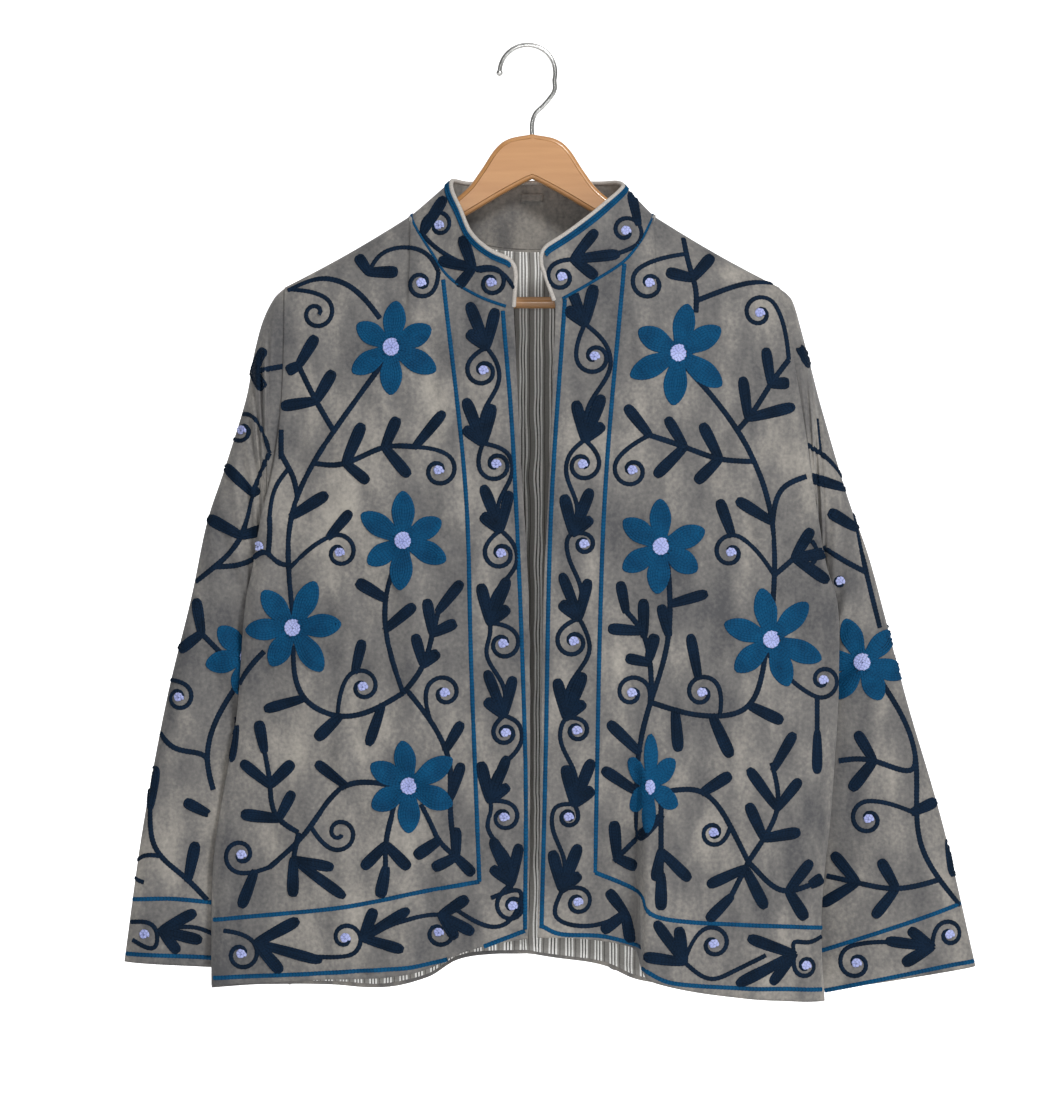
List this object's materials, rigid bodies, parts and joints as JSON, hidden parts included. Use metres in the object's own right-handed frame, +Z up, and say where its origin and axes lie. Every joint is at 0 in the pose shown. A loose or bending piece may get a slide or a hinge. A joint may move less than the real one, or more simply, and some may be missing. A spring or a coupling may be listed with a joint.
{
  "type": "embroidered jacket on a hanger",
  "caption": "Open-front velvet jacket with a stand collar, wide sleeves and raised chain-stitch flowers, hanging on a wooden hanger with a trouser bar and a steel hook.",
  "frame": {"origin": "inside of the hanger hook's crown, where a rail carries it", "axes": "+Z up, -Y to the garment's front, X across the shoulders"},
  "size_m": [0.737, 0.1147, 0.8259],
  "materials": {
    "velvet": "short-pile cotton velvet, warm grey, a little mottled",
    "stripe": "plain-weave cotton, grey with groups of thin white stripes",
    "navy_thread": "cotton chain stitch, matt with a slight sheen",
    "teal_thread": "cotton chain stitch, matt with a slight sheen",
    "lilac_thread": "cotton chain stitch, matt",
    "wood": "clear satin varnish over pale wood",
    "steel": "polished steel wire"
  },
  "bodies": {
    "root": {"back": "velvet", "left_front": "velvet", "right_front": "velvet", "left_sleeve": "velvet", "right_sleeve": "velvet", "collar": "velvet", "back_lining": "stripe", "neck_loop": "velvet", "hanger_arms": "wood", "trouser_bar": "wood", "hanger_hook": "steel"}
  },
  "joints": []
}
